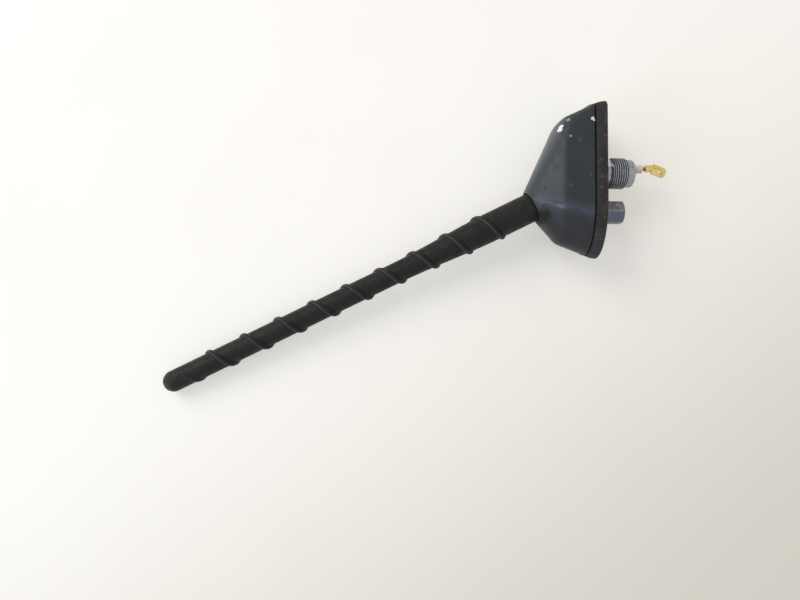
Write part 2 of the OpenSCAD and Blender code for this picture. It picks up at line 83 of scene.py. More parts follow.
def colour(name, description, value):
    """A colour property."""
    return bpy.props.FloatVectorProperty(
        name=name, description=description, default=value, subtype="COLOR", size=3, min=0, max=1)


def level(name, description, value):
    """A strength of light."""
    return bpy.props.FloatProperty(name=name, description=description, default=value)


class AntennaCover(bpy.types.PropertyGroup):
    """Sizes and colour of the moulded cover"""

    front: length("Front reach", "Reach in front of the stud's axis, at the lower edge", 29.4)
    rear: length("Rear reach", "Reach behind the stud's axis, at the lower edge", 37.7)
    width: length("Width", "Width at the lower edge", 31.4)
    rear_turn: length("Rear turn", "Where the straight sides turn into the rounded rear", 14.5)
    corner_r: length("Corner radius", "Radius of the front corners, at the lower edge", 2)
    corner_back: length("Corner place", "How far the front corners' centres lie back there", 4.2)
    roof_r: length("Roof corner radius", "Radius of the front corners, at the shoulder", 7)
    roof_back: length("Roof corner place", "How far the front corners' centres lie back there", 7.3)
    roof_soft: length("Roof softness", "How far each way the roof's corners are rounded", 9)
    front_lean: length("Front lean", "Backward lean of the front wall", 6.9)
    rear_lean: length("Rear lean", "Forward lean of the rear wall", 5.1)
    side_lean: length("Side lean", "Inward lean of each side wall", 1.2)
    low: length("Lower edge", "Height of the lower edge above the roof", 5)
    skirt_top: length("Skirt height", "Height of the skirt's upper edge above the roof", 18.4)
    wall: length("Wall", "Thickness of the wall", 1.8)
    collar_s: length("Collar height", "Height of the collar's rim, along the mast's axis", 33.2)
    collar_r: length("Collar radius", "Radius of the collar's rim", 7.5)
    recess_r: length("Recess radius", "Radius of the recess round the mast's foot", 6.85)
    recess_s: length("Recess floor", "Height of the recess floor, along the mast's axis", 28.7)
    hole_r: length("Socket hole", "Radius of the hole for the mast's socket", 4.25)
    hole_s: length("Hole's lower end", "Height where the socket hole ends", 26.3)
    tint: colour("Plastic", "Colour of the moulded plastic", (0.027, 0.037, 0.041))
    # Painted sheen of the lamps on the roof: lighter and bluer than the plastic
    roof_sheen: colour("Painted roof sheen", "Colour of the plastic on the roof", (0.054, 0.063, 0.076))
    chip: colour("Chips", "Colour of the paint specks on the cover", (0.9, 0.9, 0.9))


class AntennaGasket(bpy.types.PropertyGroup):
    """Sizes and colour of the rubber gasket"""

    flare: length("Flare", "How far the gasket stands out at the roof", 1.4)
    rim: length("Rim", "Width of the rim, inwards from the cover's outline", 1.75)
    floor: length("Floor", "Height of the gasket's floor", 2)
    relief: length("Relief", "Depth of the hollow in the underside", 0.8)
    band: length("Band", "Width of the band that seals on the roof", 5)
    stud_hole: length("Stud hole", "Radius of the hole round the stud", 8)
    post_hole: length("Post hole", "Radius of the hole round the post", 5.985)
    tint: colour("Rubber", "Colour of the gasket's rubber", (0.02, 0.018, 0.018))


class AntennaStud(bpy.types.PropertyGroup):
    """Sizes and colour of the hollow threaded stud"""

    crest_r: length("Crest radius", "Radius over the thread's crests", 6.98)
    pitch: length("Pitch", "Rise of the thread in one turn", 1)
    depth: length("Thread depth", "Depth of the thread", 0.55)
    neck_z: length("Neck end", "Depth of the neck below the roof plane", 5.2)
    thread_z: length("Thread end", "Depth of the thread's end below the roof plane", 13.3)
    end_z: length("Nose end", "Depth of the rounded nose below the roof plane", 16.6)
    nose_r: length("Nose radius", "Radius of the plain nose", 6.2)
    bore_r: length("Bore radius", "Radius of the hollow", 5)
    flat_r: length("Flat", "Distance of the milled flat from the axis", 5.3)
    flat_z: length("Flat end", "Depth of the milled flat's end below the roof plane", 6.8)
    tint: colour("Zinc", "Colour of the stud's zinc plating", (0.4, 0.42, 0.45))


class AntennaMast(bpy.types.PropertyGroup):
    """Sizes and colour of the rubber mast"""

    top: length("Tip", "Height of the tip, along the mast's axis", 214.4)
    foot: length("Foot", "Height of the foot, along the mast's axis", 30.1)
    foot_r: length("Foot radius", "Radius of the mast's foot", 6.6)
    slim_r: length("Slim radius", "Radius of the mast above the taper", 4.7)
    taper_from: length("Taper start", "Height where the taper begins", 51)
    taper_to: length("Taper end", "Height where the taper ends", 102)
    rib_pitch: length("Rib pitch", "Rise of the spiral rib from turn to turn", 16.5)
    rib_crest: length("Rib crest", "Height of one rib crest on the front side", 108.5)
    rib_from: length("Rib start", "Height where the rib starts", 47.4)
    rib_to: length("Rib end", "Height where the rib ends", 205.4)
    rib_h: length("Rib height", "How far the rib stands out", 1)
    rib_half: length("Rib half width", "Half of the bead's width", 1.5)
    tint: colour("Rubber", "Colour of the mast's rubber", (0.013, 0.0125, 0.013))


class AntennaStage(bpy.types.PropertyGroup):
    """Colours and light of the stage"""

    table: colour("Table", "Colour of the pale table", (0.845, 0.823, 0.783))
    room: colour("Room", "Colour of the light from all round", (0.97, 0.96, 0.94))
    key: level("Key light", "Level of the main light", 0.42)
    window: level("Window light", "Level of the cool light", 0.22)
    rear: level("Rear light", "Level of the light on the far side", 0.5)
    glow: level("Table white", "White added to the seen table", 0.5)
    air: level("Air light", "Level of the light from all round", 0.36)


def sizes(group):
    """The sizes and colours of one group of pieces."""
    return getattr(bpy.context.scene, "antenna_" + group)


def deselect():
    """Leaves nothing selected and no mesh open."""
    if bpy.context.object and bpy.context.object.mode != "OBJECT":
        bpy.ops.object.mode_set(mode="OBJECT")
    bpy.ops.object.select_all(action="DESELECT")


def take(piece):
    """Selects one piece and makes it the active one."""
    deselect()
    piece.select_set(True)
    bpy.context.view_layer.objects.active = piece


def apply_modifier(piece, kind, **settings):
    """Adds a modifier with these settings and applies it."""
    take(piece)
    modifier = piece.modifiers.new(kind.title(), kind)
    for key, value in settings.items():
        setattr(modifier, key, value)
    bpy.ops.object.modifier_apply(modifier=modifier.name)


def clean_mesh(piece, join_flat=False):
    """Merges points that meet, drops slivers or joins flat faces, and turns every face outwards."""
    same_point, sliver, same_plane = 0.002 * MM, 0.001 * MM, radians(0.5)
    take(piece)
    bpy.ops.object.mode_set(mode="EDIT")
    bpy.ops.mesh.select_all(action="SELECT")
    bpy.ops.mesh.remove_doubles(threshold=same_point)
    if join_flat:
        bpy.ops.mesh.dissolve_limited(angle_limit=same_plane)
    else:
        bpy.ops.mesh.dissolve_degenerate(threshold=sliver)
    bpy.ops.mesh.normals_make_consistent(inside=False)
    bpy.ops.object.mode_set(mode="OBJECT")


def loft(rings):
    """Extrudes a circle once for each ring, then moves every point to its place in the rings."""
    count = len(rings[0])
    deselect()
    bpy.ops.mesh.primitive_circle_add(vertices=count, radius=1)
    piece = bpy.context.object
    bpy.ops.object.mode_set(mode="EDIT")
    for _ in rings[1:]:
        bpy.ops.mesh.extrude_edges_move(TRANSFORM_OT_translate={"value": (0, 0, 1)})
    bpy.ops.object.mode_set(mode="OBJECT")
    for vertex in piece.data.vertices:
        x, y, z = vertex.co
        turn = (atan2(y, x) / tau - 0.25) * count
        vertex.co = rings[round(z)][round(turn) % count]
    clean_mesh(piece)
    return piece


def turned(profile, count, x, y=0):
    """A turned piece from (height, radius) pairs, as on a lathe, round an upright axis at x and y.
    A radius of zero closes it."""
    ways = [tau * i / count for i in range(count)]
    return loft([[Vector((x + r * cos(a), y + r * sin(a), z)) for a in ways]
                 for z, r in profile])


def cut_away(piece, cutter, operation="DIFFERENCE"):
    """Cuts one piece with another, or joins them, and removes the other."""
    apply_modifier(piece, "BOOLEAN", object=cutter, operation=operation, solver="EXACT")
    bpy.data.objects.remove(cutter)
    clean_mesh(piece)


def smooth_copy(node, bevel):
    """A merged copy of a CAD node, with its flat faces joined and its edges bevelled by this many
    millimetres."""
    take(frame["nodes"][node])
    bpy.ops.object.duplicate()
    piece = bpy.context.object
    piece.parent = None
    for key in [k for k in piece.keys() if k.startswith("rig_")]:
        del piece[key]
    clean_mesh(piece, join_flat=True)
    apply_modifier(piece, "BEVEL", width=bevel * MM, segments=2, limit_method="ANGLE",
                   angle_limit=radians(35))
    return piece


def write_masks(piece, masks, read):
    """Stores masks from 0 to 1 on a piece's points. Each is worked out from what is read there."""
    for name, mask in masks.items():
        layer = piece.data.attributes.new(name, "FLOAT", "POINT")
        for vertex in piece.data.vertices:
            layer.data[vertex.index].value = max(0, min(1, mask(*read(vertex.co))))


def settle(piece, name, node, finish, angle=35, weigh=False):
    """Names a finished piece, smooths it, gives it its finish, hangs it on its node's body and hides the node."""
    take(piece)
    piece.name = piece.data.name = name
    bpy.ops.object.transform_apply(location=True, rotation=True, scale=True)
    bpy.ops.object.shade_smooth_by_angle(angle=radians(angle))
    if weigh:
        apply_modifier(piece, "WEIGHTED_NORMAL", keep_sharp=True, weight=80)
    piece.data.materials.clear()
    piece.data.materials.append(finish.material)
    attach(piece, BODY_OF[node])
    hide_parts(node)


def dress_copy(node, name, bevel, finish):
    """Puts a softly bevelled and finished copy in the place of a CAD node."""
    settle(smooth_copy(node, bevel), name, node, finish, weigh=True)


class Finish:
    """One procedural material, built up in layers on the piece's own coordinates."""

    def __init__(self, name, tint, roughness, metallic=0.0, specular=0.5):
        self.material = bpy.data.materials.new(name)
        self.material.use_nodes = True
        self.tree = self.material.node_tree
        self.shader = self.tree.nodes["Principled BSDF"]
        for key, value in (("Base Color", (*tint, 1)), ("Roughness", roughness),
                           ("Metallic", metallic), ("Specular IOR Level", specular)):
            self.shader.inputs[key].default_value = value
        self.place = self.add("ShaderNodeTexCoord").outputs["Object"]

    def add(self, kind, inputs=None, **settings):
        """Adds a node, sets it up and links or sets its inputs."""
        node = self.tree.nodes.new(kind)
        for key, value in settings.items():
            setattr(node, key, value)
        for key, value in (inputs or {}).items():
            self.feed(node.inputs[key], value)
        return node

    def feed(self, socket, value):
        if isinstance(value, bpy.types.NodeSocket):
            self.tree.links.new(value, socket)
        else:
            socket.default_value = value

    def math(self, operation, a, b=0.0, clamp=False):
        node = self.add("ShaderNodeMath", {0: a, 1: b}, operation=operation, use_clamp=clamp)
        return node.outputs[0]

    def vector(self, operation, a, b):
        """A step of vector maths. A distance or a dot product gives a number."""
        second = "Scale" if operation == "SCALE" else 1
        node = self.add("ShaderNodeVectorMath", {0: a, second: b}, operation=operation)
        return node.outputs["Value" if operation in ("DISTANCE", "DOT_PRODUCT") else "Vector"]

    def attribute(self, name):
        return self.add("ShaderNodeAttribute", attribute_name=name).outputs["Fac"]

    def axes(self):
        """The piece's x, y and z, in millimetres."""
        scaled = self.vector("SCALE", self.place, 1 / MM)
        return self.add("ShaderNodeSeparateXYZ", {0: scaled}).outputs

    def grains(self, mm, shift, stretch=(1, 1, 1)):
        """The place, in steps of this many millimetres, shifted so that patterns differ."""
        return self.add("ShaderNodeMapping", {
            "Vector": self.place, "Location": (shift,) * 3,
            "Scale": tuple(1 / (mm * MM * k) for k in stretch)}).outputs[0]

    def noise(self, mm, detail=3, stretch=(1, 1, 1), shift=0.0, sharp=0.5):
        """Cloudy noise whose grains are about this many millimetres wide."""
        return self.add("ShaderNodeTexNoise", {
            "Vector": self.grains(mm, shift, stretch), "Scale": 1.0, "Detail": float(detail),
            "Roughness": sharp}).outputs[0]

    def cells(self, mm, shift=0.0):
        """Distance from the nearest of many scattered points, as a share of the cell's width."""
        return self.add("ShaderNodeTexVoronoi", {
            "Vector": self.grains(mm, shift), "Scale": 1.0}).outputs["Distance"]

    def cloud(self, mm, low, high, detail=4, **more):
        """A soft mask where the noise rises from low to high."""
        return self.band(self.noise(mm, detail, **more), low, high)

    def band(self, value, low, high):
        """Goes smoothly from 0 at low to 1 at high, also where high lies below low."""
        falls = low > high
        node = self.add("ShaderNodeMapRange", {
            "Value": value, "From Min": min(low, high), "From Max": max(low, high),
            "To Min": float(falls), "To Max": float(not falls)}, interpolation_type="SMOOTHSTEP")
        return node.outputs[0]

    def flat_place(self, point=None):
        """The place, or a point given in millimetres, with its depth across the car squeezed, so
        that a mark reaches the surface under it."""
        squeeze = (1 / MM, 0.3 / MM, 1 / MM)
        if point is not None:
            return tuple(v * MM * k for v, k in zip(point, squeeze))
        return self.vector("MULTIPLY", self.place, squeeze)

    def mark(self, away, radius, soft, ragged):
        """A mark out to this radius. Where noise is given, it makes the edge ragged."""
        if ragged:
            shift = self.both(self.math("SUBTRACT", ragged, 0.5), radius * 1.7)
            away = self.math("ADD", away, shift)
        return self.band(away, radius + soft, radius - soft)

    def spot(self, point, radius, soft, ragged=None):
        """A round mark at a point given in millimetres."""
        away = self.vector("DISTANCE", self.flat_place(), self.flat_place(point))
        return self.mark(away, radius, soft, ragged)

    def spots(self, rows, soft, ragged=None):
        """Round marks from rows of a point and a radius, in millimetres."""
        return self.most([self.spot(point, radius, soft, ragged) for point, radius in rows])

    def streak(self, start, end, radius, soft, ragged=None):
        """A mark along the line between two points given in millimetres."""
        start, end = Vector(self.flat_place(start)), Vector(self.flat_place(end))
        along = end - start
        off = self.vector("SUBTRACT", self.flat_place(), start)
        share = self.vector("DOT_PRODUCT", off, along / along.length_squared)
        near = self.vector("SCALE", along, self.math("ADD", share, 0.0, clamp=True))
        return self.mark(self.vector("DISTANCE", off, near), radius, soft, ragged)

    def most(self, masks):
        """The strongest of several masks."""
        return functools.reduce(lambda a, b: self.math("MAXIMUM", a, b), masks)

    def both(self, a, b):
        return self.math("MULTIPLY", a, b)

    def paint(self, mask, tint, share=1.0):
        """Mixes a colour over what is there, where the mask says so."""
        if share != 1.0:
            mask = self.both(mask, share)
        socket = self.shader.inputs["Base Color"]
        node = self.add("ShaderNodeMix", {0: mask, 7: (*tint, 1)}, data_type="RGBA")
        self.carry(socket, node.inputs[6], node.outputs[2])

    def dull(self, mask, value, key="Roughness"):
        """Moves the roughness, or another value of the shader, where the mask says so."""
        socket = self.shader.inputs[key]
        node = self.add("ShaderNodeMix", {0: mask, 3: value}, data_type="FLOAT")
        self.carry(socket, node.inputs[2], node.outputs[0])

    def carry(self, socket, old, new):
        """Puts what a socket had into the old side of a mix, and the mix into the socket."""
        if socket.is_linked:
            self.tree.links.new(socket.links[0].from_socket, old)
        else:
            old.default_value = socket.default_value
        self.tree.links.new(new, socket)

    def bump(self, height, mm, strength=1.0):
        """Raises the surface by up to this many millimetres, over what is raised already."""
        socket = self.shader.inputs["Normal"]
        node = self.add("ShaderNodeBump", {"Height": height, "Distance": mm * MM,
                                           "Strength": strength})
        if socket.is_linked:
            self.tree.links.new(socket.links[0].from_socket, node.inputs["Normal"])
        self.tree.links.new(node.outputs[0], socket)


def cover_finish():
    """Weathered black moulded plastic, specked with old paint and scuffed, with a painted sheen on the
    roof, painted shade on the rear wall, painted highlights along the rear edge, darker patches at the
    collar and painted shade in the seam along its lower edge."""
    c = sizes("cover")
    f = Finish("cover_plastic", c.tint, 0.42, specular=0.28)
    x, _, height = f.axes()
    low = c.low / MM
    # The rear edge leans with the mast, so the distance from it is taken along a slant
    ahead = f.math("ADD", x, f.both(height, -0.283))
    # Painted sheen: the roof above the skirt is painted lighter and bluer, where it faces the window lamp
    f.paint(f.both(f.band(height, 17, 20.6), f.band(ahead, -23.5, -20.5)), c.roof_sheen, 0.92)
    # Painted shade: the rear wall, turned away from the lamps, is painted darker
    f.paint(f.band(ahead, -21.5, -24.5), (0.026, 0.027, 0.032), 0.9)
    # Painted highlight of the window lamp along the rounded rear edge, pale blue
    rear_edge_highlight = f.streak((-14.6, -8, 28.4), (-20.6, -14.8, 6.2), 1.9, 2.2)
    f.paint(f.both(rear_edge_highlight, f.cloud(2.2, 0.22, 0.55, shift=1)), (0.082, 0.098, 0.145), 0.8)
    f.paint(f.cloud(9, 0.4, 0.75, shift=3), (0.05, 0.056, 0.062), 0.3)
    f.paint(f.cloud(1.7, 0.52, 0.74, shift=8, sharp=0.65), (0.02, 0.023, 0.026), 0.35)
    f.dull(f.cloud(4, 0.45, 0.75, shift=9), 0.55)
    dust = f.both(f.band(f.cells(1.6), 0.14, 0.06), f.cloud(7, 0.52, 0.68, 2, shift=5))
    f.paint(dust, (0.15, 0.16, 0.16), 0.5)
    dark = f.both(f.band(f.cells(3.6, 0.7), 0.1, 0.05), f.cloud(12, 0.38, 0.5, 2, shift=2))
    dots = f.spots([(point, 0.42) for point in (
        (2.8, -11.5, 22.9), (-9.7, -9.9, 25.9), (9.8, -15.3, 9.9), (12.5, 8.8, 20.9))], 0.2)
    f.paint(f.most([dark, dots]), (0.008, 0.008, 0.009), 0.9)
    ragged = f.noise(1.1, 4, shift=7, sharp=0.65)
    grain = f.cloud(0.45, 0.42, 0.6, 3)
    # Pale scuffs; the two on the rear edge are painted highlights of the window lamp
    scuffs = f.spots((
        ((-4.4, -15.5, 7.2), 0.6), ((-8.9, -14.8, 15.6), 0.8), ((11, -15.1, 11.9), 0.8),
        ((-18.1, -13, 19.4), 0.9), ((-15.9, -8.7, 27.3), 0.9)), 0.6, ragged)
    f.paint(f.both(scuffs, grain), (0.17, 0.19, 0.19), 0.45)
    # Painted highlights of the window lamp on the rear edge: a bright line, and a smear near the collar
    glint = f.streak((-17.2, -12.1, 21.6), (-18.3, -13.4, 18.4), 0.4, 0.8, ragged)
    collar_edge_highlight = f.streak((-13.8, -8.2, 29), (-16.4, -11, 23.4), 0.5, 1.1, ragged)
    f.paint(f.most([glint, f.both(collar_edge_highlight, grain)]), (0.24, 0.28, 0.34), 0.5)
    # Darker, duller patches round the collar's rear, with pale specks
    collar_patches = f.spots((((-21.2, -7.4, 25.6), 2.7), ((-21.3, -1.2, 27.1), 3.4),
                    ((-18.5, 8.8, 25.4), 2.6)), 1.6, f.noise(2.4, 4, shift=1, sharp=0.6))
    f.paint(collar_patches, (0.011, 0.011, 0.009), 0.92)
    f.dull(collar_patches, 0.75)
    f.paint(f.both(collar_patches, f.cloud(0.6, 0.58, 0.66, 3, shift=5)), (0.1, 0.1, 0.075), 0.5)
    # Painted shade in the seam along the lower edge, where the cover meets the gasket
    f.paint(f.band(height, low + 0.62, low + 0.3), (0.004, 0.004, 0.004), 0.97)
    broken = f.noise(0.9, 3, shift=7, sharp=0.6)
    chips = f.spots((
        ((17.9, -10.9, 18.7), 0.75), ((17.1, -10.9, 19.1), 0.7), ((16.4, -10.9, 19.4), 0.9),
        ((20.2, -15.6, 6.1), 0.75), ((19.5, -15.6, 5.7), 0.5), ((24.9, 9.4, 15.2), 0.6)),
        0.12, broken)
    f.paint(chips, c.chip)
    faint = f.spots((((20, -12, 16.1), 0.85), ((12.7, -14.7, 15.7), 0.5)), 0.3, broken)
    f.paint(faint, tuple(v * 0.5 for v in c.chip), 0.8)
    f.bump(f.noise(0.28, 2), 0.01)
    f.bump(f.noise(2.2, 3, shift=4), 0.03, 0.6)
    return f


def gasket_finish():
    """Old black rubber, brownish with dust, with scuffs and small tears, and painted shade in the seam
    under the cover.
    """
    top = sizes("cover").low / MM
    f = Finish("gasket_rubber", sizes("gasket").tint, 0.62, specular=0.25)
    x, _, height = f.axes()
    # Brown dust in wide and fine clouds, with a greyer rear between, and rubbed lines on top
    f.paint(f.cloud(5, 0.42, 0.72, shift=6), (0.04, 0.034, 0.031), 0.8)
    f.paint(f.band(x, -25, -33), (0.04, 0.045, 0.049), 0.75)
    f.paint(f.cloud(0.9, 0.55, 0.74, shift=1), (0.085, 0.07, 0.06), 0.5)
    f.paint(f.cloud(0.7, 0.6, 0.72, 3, stretch=(6, 1, 0.6), shift=3), (0.12, 0.105, 0.095), 0.4)
    ragged = f.noise(0.8, 4, shift=7, sharp=0.65)
    scuffs = f.spots((
        ((-5.1, -16.4, 2.8), 0.7), ((-9.8, -16.4, 2.9), 0.6), ((12.7, -16.8, 1.4), 0.45),
        ((-23, -15.7, 1.4), 0.6), ((-29.9, -12.3, 3.7), 0.5), ((2.2, -16.4, 3), 0.5),
        ((-31.9, -11.5, 1.8), 0.4), ((24.5, 12.6, 2.6), 0.6)), 0.22, ragged)
    ring_middle = f.math("SUBTRACT", 1.0, f.spot((-5.1, -16.2, 3), 0.4, 0.16))
    pale_marks = f.both(f.both(scuffs, f.cloud(0.4, 0.38, 0.62, 3, shift=9)), ring_middle)
    f.paint(pale_marks, (0.18, 0.165, 0.155), 0.6)
    scratch = f.streak((23.2, -16.6, 1), (17.5, -16.8, 1.1), 0.12, 0.2, ragged)
    f.paint(scratch, (0.2, 0.17, 0.16), 0.6)
    dusty = f.both(f.band(height, 0.9, 0.3), f.cloud(1.6, 0.5, 0.62, shift=2))
    f.paint(dusty, (0.16, 0.14, 0.125), 0.5)
    # Painted shade in the seam under the cover
    f.paint(f.band(height, top - 0.42, top - 0.22), (0.005, 0.005, 0.005), 0.97)
    f.bump(f.noise(0.35, 3), 0.02)
    f.bump(f.noise(1.6, 3, shift=4), 0.06, 0.7)
    return f


def mast_finish():
    """Black rubber of the mast, with painted shadow beside the rib, a painted highlight along its upper edge and
    at the tip, and dust towards the foot.
    """
    f = Finish("mast_rubber", sizes("mast").tint, 0.48, specular=0.22)
    foot = f.attribute("foot")
    f.paint(f.cloud(6, 0.45, 0.75, shift=2), (0.021, 0.02, 0.02), 0.7)
    # Painted highlight just above the rib's crest and on the tip
    f.paint(f.attribute("pale_marks"), (0.1, 0.1, 0.105), 0.55)
    # Painted shadow in the groove just below the rib
    f.paint(f.attribute("rib_shadow"), (0.004, 0.004, 0.004), 0.9)
    f.paint(f.both(foot, f.cloud(5, 0.42, 0.6, shift=11)), (0.026, 0.019, 0.014), 0.5)
    f.paint(f.both(foot, f.cloud(0.6, 0.64, 0.7, 3, shift=13)), (0.12, 0.08, 0.045), 0.35)
    f.dull(f.cloud(2.5, 0.45, 0.7, 3, shift=8), 0.66)
    f.bump(f.noise(0.3, 3), 0.015)
    f.bump(f.noise(1.3, 3, shift=5), 0.05, 0.6)
    return f


def stud_finish():
    """Dull zinc plating with stains, dark grime in the thread and a painted bright reflection on the milled flat.
    """
    s = sizes("stud")
    neck, nose = -s.neck_z / MM, -s.thread_z / MM
    f = Finish("plated_steel", s.tint, 0.4, 0.7)
    height = f.axes()[2]
    f.paint(f.band(height, nose - 0.1, nose - 0.5), (0.36, 0.38, 0.41), 0.9)
    f.paint(f.band(height, neck - 0.1, neck + 0.1), (0.4, 0.46, 0.55), 0.8)
    f.paint(f.cloud(2.4, 0.42, 0.68, shift=3), (0.25, 0.27, 0.3), 0.7)
    f.paint(f.cloud(0.7, 0.56, 0.7, shift=7), (0.07, 0.07, 0.075), 0.6)
    # Painted reflection: the milled flat is painted near white
    f.paint(f.attribute("flat"), (0.8, 0.79, 0.78), 0.85)
    f.dull(f.cloud(1.4, 0.4, 0.7, 3, shift=1), 0.6)
    f.paint(f.attribute("groove"), (0.022, 0.022, 0.026), 0.92)
    f.dull(f.attribute("groove"), 0.8)
    f.bump(f.noise(0.25, 3), 0.012)
    return f


def post_finish():
    """Grey plated steel, pitted, with painted shade on its lower face, a painted highlight on its rubbed
    middle corner, and rust in and round the cross hole, whose wall is painted lighter with a glint.
    """
    f = Finish("post_steel", (0.21, 0.225, 0.24), 0.4, 0.45)
    x, y, height = f.axes()
    hole_x, _, hole_z = (v / MM for v in CROSS_HOLE["pos_m"])
    hole_r = CROSS_HOLE["dims"]["r_mm"]
    off = f.math("SUBTRACT", x, hole_x)
    f.paint(f.cloud(2.6, 0.4, 0.66, shift=3), (0.11, 0.12, 0.135), 0.7)
    f.paint(f.cloud(0.8, 0.56, 0.7, shift=7), (0.05, 0.05, 0.055), 0.5)
    f.paint(f.band(height, -11.2, -11.8), (0.26, 0.28, 0.3), 0.5)
    # Painted shade: the face behind the post's middle corner is painted darker and bluer. The corner itself is
    # rubbed, and painted lighter as its highlight
    f.paint(f.band(x, hole_x + 0.1, hole_x - 0.1), (0.1, 0.125, 0.19), 0.65)
    f.paint(f.band(f.math("ABSOLUTE", off), 0.3, 0.08), (0.38, 0.4, 0.44), 0.7)
    side = f.math("ADD", f.both(off, cos(pi / 6)), f.both(y, sin(pi / 6)))
    up = f.math("SUBTRACT", height, hole_z)
    away = f.math("SQRT", f.math("ADD", f.both(side, side), f.both(up, up)))
    hole = f.band(away, hole_r + 0.1, hole_r + 0.02)
    f.paint(f.band(away, hole_r + 0.55, hole_r), (0.06, 0.03, 0.018), 0.8)
    # The hole's wall is rust painted lighter to make up for the shade inside it, with a painted near-white glint
    f.paint(hole, (0.72, 0.36, 0.2), 0.95)
    f.paint(f.both(hole, f.cloud(0.8, 0.32, 0.45, 3, shift=2)), (1, 0.86, 0.78))
    f.dull(f.band(away, hole_r + 0.3, hole_r), 0.8)
    f.dull(hole, 0, "Metallic")
    f.bump(f.noise(0.25, 3), 0.012)
    return f


def metal_finish(name, tint, roughness, stain):
    """Plain metal with a turned grain, soft stains and a little tarnish."""
    f = Finish(name, tint, roughness, 0.9)
    f.paint(f.cloud(1.8, 0.5, 0.72, shift=5), stain, 0.35)
    f.dull(f.cloud(0.9, 0.4, 0.7, 3, shift=2), min(roughness + 0.2, 1))
    f.bump(f.noise(0.15, 2, stretch=(1, 1, 4)), 0.006)
    return f


def brass_finish():
    """Yellow brass of the flat terminal, with olive tarnish and rubbed bright places."""
    f = metal_finish("terminal_brass", (0.66, 0.5, 0.17), 0.36, (0.3, 0.24, 0.08))
    f.paint(f.cloud(1.1, 0.52, 0.64, shift=12), (0.25, 0.19, 0.05), 0.35)
    f.paint(f.cloud(2.4, 0.5, 0.62, 3, shift=21), (0.8, 0.68, 0.36), 0.4)
    return f


def plain_finish(name, tint, roughness, pale):
    """Plastic, rubber or glass fibre with faint clouds and a fine grain."""
    f = Finish(name, tint, roughness)
    f.paint(f.cloud(3, 0.45, 0.75, shift=4), pale, 0.6)
    f.dull(f.cloud(1.5, 0.4, 0.7, 3, shift=6), min(roughness + 0.15, 1))
    f.bump(f.noise(0.25, 3), 0.01)
    return f


def on_mast(radius, angle, height):
    """A point round the mast's axis. Angle zero is the front side."""
    side = MAST_FRONT * cos(angle) + LEFT * sin(angle)
    return MAST_ROOT + MAST_UP * height + side * radius


# How many steps of a ring round the base lie on half the bowed front, on a corner, on a straight
# side and on half the rounded rear
BOW_STEPS, CORNER_STEPS, SIDE_STEPS, REAR_STEPS = 7, 7, 10, 22


def base_ring(height, inset, rise):
    """A ring round the base at this height. Rise is 0 at the cover's lower edge and 1 at the
    skirt's top. The ring starts at the front: a bowed end, a corner, a side, half an ellipse."""
    c = sizes("cover")
    front = c.front - c.front_lean * rise - inset
    rear = c.rear - c.rear_lean * rise - inset
    half = c.width / 2 - c.side_lean * rise - inset
    turn = c.rear_turn - c.side_lean * rise
    full = c.corner_r + (c.roof_r - c.corner_r) * rise
    corner = max(full - inset, MM)
    back = c.corner_back + (c.roof_back - c.corner_back) * rise - inset
    back += min(max(inset, 0), full - MM)
    cx, cy = front - back, half - corner
    bow = (back ** 2 + cy ** 2 - corner ** 2) / (2 * (back - corner))
    end = asin(cy / (bow - corner))
    points = [(front - bow + bow * cos(end * i / BOW_STEPS), bow * sin(end * i / BOW_STEPS))
              for i in range(BOW_STEPS + 1)]
    for i in range(1, CORNER_STEPS + 1):
        a = end + (pi / 2 - end) * i / CORNER_STEPS
        points.append((cx + corner * cos(a), cy + corner * sin(a)))
    points += [(cx - (turn + cx) * i / SIDE_STEPS, half) for i in range(1, SIDE_STEPS)]
    for i in range(REAR_STEPS + 1):
        a = pi / 2 * (1 + i / REAR_STEPS)
        points.append((-turn + (rear - turn) * cos(a), half * sin(a)))
    points += [(x, -y) for x, y in reversed(points[1:-1])]
    return [Vector((x, y, height)) for x, y in points]


def collar_angles(low):
    """The angle on the collar where the roof's straight line from each point of a ring lands:
    there the plane through the ring's tangent just touches the collar."""
    c = sizes("cover")
    steps = 360
    rim = [on_mast(c.collar_r, pi * k / steps, c.collar_s) for k in range(steps + 1)]
    angles = []
    for i in range(len(low) // 2 + 1):
        along = low[(i + 1) % len(low)] - low[i - 1]
        out = Vector((along.y, -along.x, 0)).normalized()
        reach = [-(q - low[i]).dot(out) / (q.z - low[i].z) for q in rim]
        angles.append(pi * reach.index(min(reach)) / steps)
    angles += [tau - a for a in reversed(angles[1:-1])]
    smoothing_passes = 6
    for _ in range(smoothing_passes):
        before = [angles[-1] - tau] + angles[:-1]
        after = angles[1:] + [angles[0] + tau]
        angles = [(a + 2 * b + d) / 4 for a, b, d in zip(before, angles, after)]
    return angles


def soften(ring, reach):
    """Rounds the front corners of a ring: each point becomes the mean of the ring for this far
    each way."""
    count = len(ring)
    steps = [0.0]
    for i in range(count):
        steps.append(steps[-1] + (ring[(i + 1) % count] - ring[i]).length)

    def at(s):
        s %= steps[-1]
        i = min(bisect.bisect_right(steps, s), count) - 1
        return ring[i].lerp(ring[(i + 1) % count], (s - steps[i]) / (steps[i + 1] - steps[i]))

    softer = []
    side_end = BOW_STEPS + CORNER_STEPS + SIDE_STEPS
    for i, point in enumerate(ring):
        mean = sum((at(steps[i] + reach * k / 4) for k in range(-4, 5)), Vector()) / 9
        # Full strength up to the front corners, fading out along the straight sides
        share = max(0, min(1, (side_end - min(i, count - i)) / (SIDE_STEPS - 1)))
        softer.append(point.lerp(mean, share))
    return softer


def between(low, high, share):
    """A ring part of the way from one ring to another."""
    return [a.lerp(b, share) for a, b in zip(low, high)]


def roof_ring(top, rim, t):
    """A ring on the roof's straight lines, from the shoulder's soft corners to the collar's rim."""
    return between(soften(top, sizes("cover").roof_soft), rim, t)


